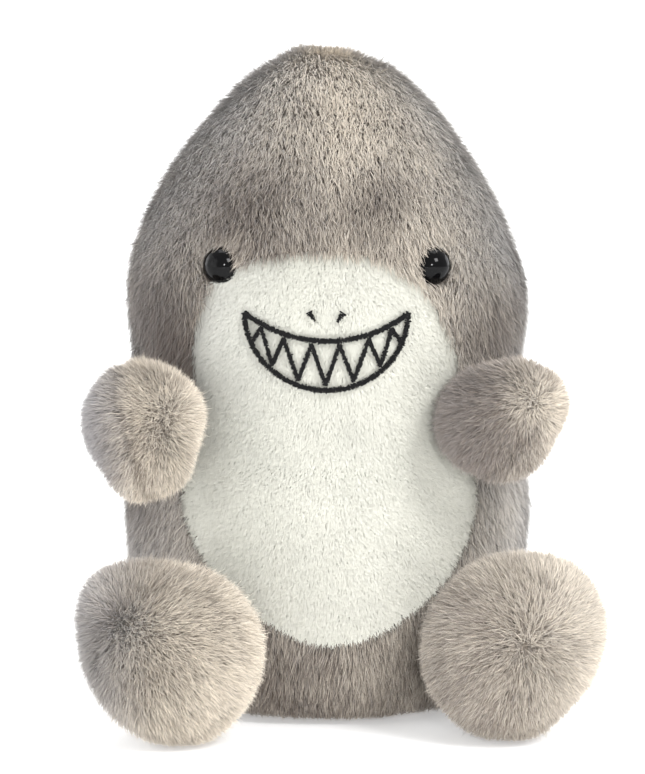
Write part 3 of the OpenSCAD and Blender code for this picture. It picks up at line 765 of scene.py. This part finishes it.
across = np.linspace(-grin, grin, 200)
round_jaw = grin * np.sin(np.radians(np.linspace(-90, 90, 240)))
tooth_tops = (-0.8, -0.52, -0.17, 0.17, 0.52, 0.8)
tooth_points = (-0.9, -0.66, -0.34, 0, 0.34, 0.66, 0.9)
zigzag = []
for i in range(13):
    x = grin * (tooth_tops[i // 2] if i % 2 else tooth_points[i // 2])
    zigzag.append((x, lip_z(x) - 0.85 if i % 2 else jaw_z(x) + 1))
lines = {
    "stitched_grin": [
        np.stack([across, lip_z(across)], -1), np.stack([round_jaw, jaw_z(round_jaw)], -1)
    ],
    "stitched_teeth": [np.array(zigzag[i : i + 2]) for i in range(12)],
    "stitched_nostril_left": [np.array([[-3.1, 79.0], [-2.0, 77.5]])],
    "stitched_nostril_right": [np.array([[3.3, 78.8], [2.2, 77.3]])],
}
stands_for = {
    "stitched_grin": "mouth_outline", "stitched_teeth": "teeth",
    "stitched_nostril_left": "nostril_left", "stitched_nostril_right": "nostril_right",
}


def even(line, pitch):
    """Points along a line at an even pitch."""
    steps = np.concatenate([[0], np.cumsum(np.linalg.norm(np.diff(line, axis=0), axis=1))])
    at = np.linspace(0, steps[-1], max(3, int(steps[-1] / pitch)))
    return np.stack([np.interp(at, steps, line[:, k]) for k in (0, 1)], -1)


# Rayon thread: black, with a soft gloss across each stitch
m, _, shader = new_material("black_rayon_thread", "060607", 0.6)
shader.inputs["Specular IOR Level"].default_value = 0.25
bpy.ops.mesh.primitive_cube_add(size=1)
bar = bpy.context.object
bpy.ops.object.mode_set(mode="EDIT")
bpy.ops.transform.resize(value=(0.001, 0.00027, 0.00042))
bpy.ops.mesh.bevel(offset=0.00009, segments=1)
bpy.ops.object.mode_set(mode="OBJECT")
bar_points = np.array([v.co for v in bar.data.vertices])
bar_faces = [list(p.vertices) for p in bar.data.polygons]
bpy.data.objects.remove(bar)

random = np.random.default_rng(130)
stitched = []
for name, runs in lines.items():
    points, faces = [], []
    for run in runs:
        spots = even(run, 0.23)
        z, angle = on_face(spots[:, 0], spots[:, 1])
        place, (_, _, normal) = bag_place(z, angle), bag_slopes(z, angle)
        place = place + bag_sag(place)[:, None] * normal
        stitched.append(place)
        along = unit(np.gradient(place, axis=0))
        side = unit(np.cross(along, normal))
        turn = random.normal(0.1, 0.16, len(place))[:, None]
        side, along = (
            side * np.cos(turn) + along * np.sin(turn),
            along * np.cos(turn) - side * np.sin(turn),
        )
        place = place - 0.42 * normal + 0.06 * random.normal(size=(len(place), 1)) * side
        # The grin is wider than the teeth, and a nostril narrows to its inner end
        wider = 1.05 if name == "stitched_grin" else 0.84
        if "nostril" in name:
            wider = np.linspace(1.35, 0.5, len(place))
        wider = wider * random.normal(1, 0.14, len(place))
        for p, a, b, c, wide in zip(place, side, along, normal, wider):
            faces += [[i + len(points) * len(bar_points) for i in f] for f in bar_faces]
            axes = np.stack([a * wide, b, c])
            points.append(bar_points @ axes + p / 1000)
    mesh = bpy.data.meshes.new(name)
    mesh.from_pydata(np.concatenate(points), [], faces)
    o = bpy.data.objects.new(name, mesh)
    bpy.context.collection.objects.link(o)
    pick(o)
    bpy.ops.object.mode_set(mode="EDIT")
    bpy.ops.mesh.select_all(action="SELECT")
    bpy.ops.mesh.normals_make_consistent(inside=False)
    bpy.ops.object.mode_set(mode="OBJECT")
    o.data.materials.append(m)
    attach(o, "torso")
    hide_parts(stands_for[name])
stitched = np.concatenate(stitched)


# White pile: a short dense plush on the face and the belly, brushed down and outwards. It is
# pressed flat where it is embroidered, and its edges fluff out over the grey.
white_pile = pile("white_plush_pile", 0.98, "c9c9bf", "efeee3", "b9b9b6", 1.0)


def nearest_gap(p, others):
    """How far each point is from the nearest of the others, in mm."""
    tree = KDTree(len(others))
    for i, q in enumerate(others):
        tree.insert(q, i)
    tree.balance()
    return np.array([tree.find(q)[2] for q in p])


for number, (name, span, count, node) in enumerate(
    (
        ("fur_face", (cross_seam, 90.7), 60000, "face_panel"),
        ("fur_belly", (16.3, cross_seam), 40000, "belly_panel"),
    )
):
    random = np.random.default_rng(140 + number)
    z, angle = scatter(
        bag_place, span, (-49.0, 50.0), count, random,
        lambda z, angle: np.where(in_white(z, angle, 0.4), 1.0, 0.0),
    )
    keep = in_white(z, angle, 0.4)
    z, angle = z[keep], angle[keep]
    up_z, round_way, normal = bag_slopes(z, angle)
    root = bag_place(z, angle)
    root = root + (bag_sag(root) - 2.0)[:, None] * normal
    comb = -up_z + 0.5 * round_way * (angle / 40)[:, None]
    length = 1.75 * random.uniform(0.85, 1.12, len(z))
    # The pile is flattened round the stitches and longer at the edges, and it is painted darker on
    # the cross seam, painted shade in the crease there
    gap = nearest_gap(bag_place(z, angle), stitched)
    length *= np.interp(gap, [0.2, 0.6, 2.2], [0.45, 0.72, 1])
    a, b = white_edges(z)
    edge = np.minimum(angle - a, b - angle)
    length *= np.interp(edge, [0, 3], [1.3, 1])
    # Painted shade in the crease along the cross seam
    crease = np.exp(-(((z - cross_seam) / 1.6) ** 2))
    # The white is painted lighter to the right and low on the belly, painted light that evens out
    # the lamps' fall-off, and the cool mix paints shade on the left cheek, away from the key lamp
    o = fur(
        name, root, normal, comb, length, random.uniform(0.12, 0.18, len(z)),
        0.3 + random.normal(0, 0.08, len(z)) - 0.03 * crease
        + 0.3 * np.clip((angle - 6) / 30, 0, 1) + 0.26 * np.clip((50 - z) / 22, 0, 1),
        np.clip(random.normal(0.05, 0.04, len(z)) + np.clip((-angle - 8) / 34, 0, 1)
        * np.interp(z, [48, 66], [0.02, 0.5]), 0, 0.8),
        random,
        lift=50, lay=24, stray=25, wisp=1.2, gather=0.05, even_light=0.85,
    )
    o.data.materials.append(white_pile)
    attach(o, "torso")
    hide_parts(node)


# Arms and feet: four plush bags, each sewn from two pieces, turned, stuffed and sewn to the body
# by the root. The pile is brushed outwards from a whorl on each and partly one way, and stands
# up into the body's pile round the root.
def turned_to(way, roll):
    """Axes of a limb that points along way: rows are its own x, y and z in the row frame."""
    pitch, yaw = np.arccos(way[2]), np.arctan2(way[1], way[0])
    x = np.array([np.cos(yaw) * np.cos(pitch), np.sin(yaw) * np.cos(pitch), -np.sin(pitch)])
    y = np.array([-np.sin(yaw), np.cos(yaw), 0])
    c, s = np.cos(np.radians(roll)), np.sin(np.radians(roll))
    return np.stack([c * x + s * y, c * y - s * x, way])


def limb_shape(root_radius, tip_radius, reach, centre, axes):
    """A limb's outer surface as place(s, phi), s mm along it from the middle of its root."""
    lean = np.degrees(np.arccos((root_radius - tip_radius) / reach))
    low_t, high_t = np.linspace(0.4, 180 - lean, 60), np.linspace(180 - lean, 179.6, 160)
    t = np.concatenate([low_t, high_t])
    r = np.concatenate(
        [root_radius * np.sin(np.radians(low_t)), tip_radius * np.sin(np.radians(high_t))]
    )
    h = np.concatenate(
        [-root_radius * np.cos(np.radians(low_t)), reach - tip_radius * np.cos(np.radians(high_t))]
    )
    s = np.concatenate([[0], np.cumsum(np.hypot(np.diff(r), np.diff(h)))])

    def place(at, phi):
        radius, up, turn = np.interp(at, s, r), np.interp(at, s, h), np.radians(phi)
        local = np.stack([radius * np.cos(turn), radius * np.sin(turn), up], -1)
        return centre + local @ axes

    return place, s, t


sole_seam = 128  # the seam round a foot's sole, in degrees round its outline from the root
sandy_pile = pile("sandy_plush_pile", 0.66, "6e6257", "e2d8c8", "a09e9f", 1.42)
sandy_knit = weave("sandy_knit_backing", "81776c", "a0968a")

limb_table = (
    # name, radius at the root and the tip, reach, angle and height on the bag, way, turn of the
    # seams, whorl from the middle of the tip, the way it is brushed, hairs, length
    ("arm_left", 10.8, 8.7, 6.5, -46, 58.5, (0.12, -0.55, -0.83), -60, (3.9, 5.8),
     (-0.45, 0, -0.75), 36000, 3.3),
    ("arm_right", 10.8, 8.7, 6.5, 41.5, 58.5, (0.6, -0.62, 0.5), 60, (3.4, 1.6),
     (-0.35, 0, -0.45), 36000, 3.3),
    ("foot_left", 12, 16.6, 9, -36.5, 16.6, (0, -1, 0), 0, (-10.8, 8.7), (0.1, 0, -0.3), 60000, 3.5),
    ("foot_right", 12, 16.6, 9, 45, 16.6, (0, -1, 0), 0, (1.2, 3.5), (-0.25, 0, -0.45), 60000, 3.5),
)


def limb_sag(p, name, ball, radius):
    """How far a stuffed limb stands out from its plain shape, in mm: soft lumps, and feet
    that are fuller at their upper outer corner and slimmer below it."""
    lumps = 0.4 * waves(p, 11, len(name))
    if not name.startswith("foot"):
        return lumps
    out = -1 if name == "foot_left" else 1
    x, z = out * (p[..., 0] - ball[0]) / radius, (p[..., 2] - ball[2]) / radius
    corner, lower = np.clip((x + z) / 1.414, 0, 1), np.clip((x - z) / 1.414, 0, 1) ** 4
    if name == "foot_left":
        fuller, slimmer = 3.4 * corner**10, 1.7 * lower
    else:
        fuller, slimmer = 2.3 * corner**6 + 0.8 * np.clip(z, 0, 1) ** 4, 2.8 * lower
    # A foot has no lumps where it lies on the table, and is a little slimmer on its outer side
    return lumps * np.clip(p[..., 2] / 6, 0, 1) + fuller - slimmer - 0.7 * np.clip(x, 0, 1) ** 2


for number, (
    name, root_radius, tip_radius, reach, at_angle, at_height, way, roll, whorl, brushed, count, hair
) in enumerate(limb_table):
    random = np.random.default_rng(200 + number)
    foot = name.startswith("foot")
    way = unit(np.array(way, float))
    axes = turned_to(way, roll)
    z, angle = np.array([at_height * 1.0]), np.array([at_angle * 1.0])
    inward = -bag_slopes(z, angle)[2][0]
    centre = bag_place(z, angle)[0] - (root_radius + 0.4) * inward
    if foot:
        centre[2] = tip_radius
    place, s, t = limb_shape(root_radius, tip_radius, reach, centre, axes)
    seam_s = float(np.interp(sole_seam, t, s))
    # The two pieces of cloth: for a foot the upper and the sole, for an arm front and back
    if foot:
        halves = (
            ("upper", (0, seam_s - 0.1), (0, 360)), ("sole", (seam_s + 0.1, s[-1]), (0, 360)),
        )
    else:
        halves = (("front", (0, s[-1]), (90.5, 269.5)), ("back", (0, s[-1]), (-89.5, 89.5)))
    for half, s_span, phi_span in halves:
        at, phi = np.meshgrid(np.linspace(*s_span, 24), np.linspace(*phi_span, 25), indexing="ij")
        normal = slopes(place, at, phi, 0.2, 1.0, (0.0, s[-1]))[2]
        p = place(at, phi)
        p = p + (limb_sag(p, name, centre + reach * way, tip_radius) - 1.9)[..., None] * normal
        o = cloth(f"cloth_{name}_{half}", p, 0.5, foot)
        o.data.materials.append(sandy_knit)
        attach(o, name)
    lumpy(f"filling_{name}", f"{name}_fill", name)
    # The pile
    at, phi = scatter(place, (0.05, s[-1] - 0.02), (0.0, 360.0), count, random)
    normal = slopes(place, at, phi, 0.1, 0.5, (0.0, s[-1]))[2]
    outer = place(at, phi)
    ball = centre + reach * way
    outer = outer + limb_sag(outer, name, ball, tip_radius)[:, None] * normal
    root = outer - 1.8 * normal
    # The whorl is on the front of the ball; near it the pile's way is unsettled
    deep = -np.sqrt(max(0.0, tip_radius**2 - whorl[0] ** 2 - whorl[1] ** 2))
    whorl_point = ball + np.array([whorl[0], deep, whorl[1]])
    from_whorl = outer - whorl_point
    distance = np.linalg.norm(from_whorl, axis=-1)
    comb = unit(from_whorl) + 0.25 * np.cross(normal, unit(from_whorl)) + np.array(brushed)
    comb = comb + random.normal(size=comb.shape) * (2.4 / (distance + 1.5))[:, None]
    comb = unit(comb - normal * np.sum(comb * normal, -1, keepdims=True))
    length = hair * random.uniform(0.75, 1.15, len(at)) * (1 + 0.12 * waves(root, 6, 11 + number))
    length = np.where(random.random(len(at)) < 0.04, length * 1.25, length)
    local_x = (outer - centre) @ axes[0]
    seam_gap = np.abs(at - seam_s) if foot else np.abs(local_x)
    length *= 1 - (0.12 if foot else 0.22) * np.exp(-((seam_gap / 1.1) ** 2))
    length *= 1 - (0.25 if name == "foot_left" else 0.05) * np.exp(-((distance / 2.5) ** 2))
    # Next to the body the pile stands up into that of the body and hides the joint
    from_root = unit(outer - centre)
    neck = np.interp(from_root @ inward, [0.3, 0.8], [0, 1])
    neck = neck * np.interp(from_root[:, 1], [0, 0.5], [0.1, 1])
    length *= 1 + (0.6 if foot else 0.35) * neck
    x = (outer[:, 0] - ball[0]) / tip_radius
    up = (outer[:, 2] - ball[2]) / tip_radius
    # Painted light and shade: each limb is painted lighter towards its right, where the key lamp
    # falls, and the left arm darker on its outer left strip, in painted shade
    shade = {
        "arm_left": 0.56 + 0.1 * x - 0.05 * up - 0.9 * np.clip(-x - 0.45, 0, 1),
        "arm_right": 0.06 + 0.6 * np.exp(-((distance / 5) ** 2)) + 0.45 * x,
        "foot_left": 0.56 + 0.3 * x - 0.1 * up,
        "foot_right": 0.4 + 0.42 * np.clip(x, -0.3, 1) + 0.1 * up,
    }[name]
    # The cool mix is a painted cool rim light towards the edges, most on the left of the left arm
    # and foot
    cool = {
        "arm_left": np.clip(-0.1 - 0.9 * x, 0, 1),
        "arm_right": 0.18 - 0.1 * x,
        "foot_left": np.clip(-0.15 - 1.0 * x, 0, 1),
        "foot_right": 0.12 + 0.1 * np.abs(x),
    }[name]
    shade = shade + random.normal(0, 0.24, len(at))
    # The left foot's whorl is painted darker, painted shade in its dimple
    if name == "foot_left":
        shade = shade - 0.35 * np.exp(-((distance / 3.2) ** 2))
    # Along each seam the pile is painted darker, painted shade in the seam's valley
    shade = shade - 0.2 * np.exp(-((seam_gap / 0.9) ** 2)) * (0.3 if foot else 1)
    cool = np.clip(cool + random.normal(0, 0.1, len(at)), 0, 0.9)
    first = at < seam_s if foot else local_x < 0
    for half, mine in ((halves[0][0], first), (halves[1][0], ~first)):
        o = fur(
            f"fur_{name}_{half}", root[mine], normal[mine], comb[mine], length[mine],
            random.uniform(0.1, 0.155, mine.sum()), shade[mine], cool[mine], random,
            lift=68 + 12 * neck[mine], lay=40 + 35 * neck[mine], stray=20, wisp=1.5, gather=0.19,
        )
        o.data.materials.append(sandy_pile)
        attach(o, name)
        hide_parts(f"{name}_{half}")


# Fins: the dorsal fin high on the back and the tail low on it. Each is two pieces of the grey
# plush sewn round the edge, lightly stuffed and sewn to the back seam by its root.
def dorsal_limits(out):
    """How low and how high the fin is a share out from its root, and how far its tip's edge is
    cut in."""
    return -1 + 0.3 * out**2, 1 - 0.25 * out - out**2, 0.12


def tail_limits(out):
    return -1 - 0.25 * out**2, 1 + 0.7 * out**2, 0.24


for number, (name, height, chord, reach, limits, count) in enumerate(
    (
        ("dorsal_fin", 73.0, 25.0, 17.0, dorsal_limits, 15000),
        ("tail", 20.0, 17.0, 14.5, tail_limits, 12000),
    )
):
    random = np.random.default_rng(300 + number)
    ends = bag_place(np.array([height - chord / 2, height + chord / 2]), np.array([180.0, 180.0]))
    lean = np.arctan2(ends[0, 1] - ends[1, 1], ends[1, 2] - ends[0, 2])
    z, angle = np.array([height]), np.array([180.0])
    centre = (bag_place(z, angle) + 5.9 * bag_slopes(z, angle)[2])[0]
    back = np.array([0, np.cos(lean), np.sin(lean)])
    up_fin = np.array([0, -np.sin(lean), np.cos(lean)])

    def fin_place(row, v, way):
        """row runs from -0.9 round the root to 1 at the tip, v from -1 to 1 up the fin."""
        out = np.maximum(0, row)
        low, top, bite = limits(out)
        bite = bite * (v * v if name == "dorsal_fin" else 1 - v * v)
        y = np.where(row <= 0, row * 5.4, (reach - 1.7) * row) - reach * bite * out * out
        z = (chord / 2 - 1.7) * (low + (top - low) * (v + 1) / 2)
        puff = np.sqrt(np.maximum(0, 1 - v * v)) * np.sqrt(np.maximum(0, 1 - out * out))
        half = 0.2 + 3.3 * puff * np.where(row < 0, np.sqrt(np.maximum(0, 1 - row * row)), 1)
        across = way * half[..., None] * np.array([1.0, 0, 0])
        return centre + across + y[..., None] * back + z[..., None] * up_fin

    lumpy(f"filling_{name}", f"{name}_fill", name)
    for side, way in (("left", -1.0), ("right", 1.0)):
        def one_side(row, v, way=way):
            return fin_place(row, v, way)

        rows = 1 - np.linspace(1, 0.0, 20) ** 1.6 * 1.9
        cols = np.sin(np.radians(np.linspace(-90, 90, 25)))
        row, v = np.meshgrid(rows[::-1] if way < 0 else rows, cols, indexing="ij")
        o = cloth(f"cloth_{name}_{side}", one_side(row, v), 0.2)
        o.data.materials.append(grey_knit)
        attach(o, name)
        row, v = scatter(one_side, (-0.9, 0.995), (-0.995, 0.995), count, random)
        normal = slopes(one_side, row, v, 0.01, 0.01, (-0.9, 0.999))[2]
        normal = normal * np.where(np.sum(normal * [way, 0, 0], -1, keepdims=True) < 0, -1, 1)
        root = one_side(row, v)
        # At the rim the pile stands out and crosses to the other side, so the seam is hidden
        rim = np.clip((np.maximum(np.abs(v), np.maximum(row, 0)) - 0.72) / 0.28, 0, 1)[:, None]
        away = unit(np.maximum(row, 0)[:, None] * back + 0.9 * v[:, None] * up_fin)
        comb = unit(0.8 * back - 0.6 * up_fin) * (1 - 0.6 * rim) + 0.8 * rim * away
        comb = comb - rim * np.array([0.8 * way, 0, 0])
        length = 4.2 * random.uniform(0.75, 1.15, count) * (1 + 0.1 * rim[:, 0])
        # The fins' pile is painted a little lighter than the bag's, painted light for the lamp light
        # their flat pile misses
        o = fur(
            f"fur_{name}_{side}", root, normal, comb, length, random.uniform(0.13, 0.2, count),
            0.52 + random.normal(0, 0.22, count), np.clip(0.2 + random.normal(0, 0.15, count), 0, 1),
            random, lift=66, lay=36,
        )
        o.data.materials.append(grey_pile)
        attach(o, name)
        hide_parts(f"{name}_{side}")


# Closing stitches: five ladder stitches of grey thread that shut the back seam, below the
# dorsal fin, after the bag is filled. The pile is picked out over them.
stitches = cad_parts["closing_stitches"]
stitches.data.materials.clear()
stitches.data.materials.append(
    speckled("grey_polyester_thread", "5d5750", "7d766d", 2500.0, 0.6, 0.4)
)
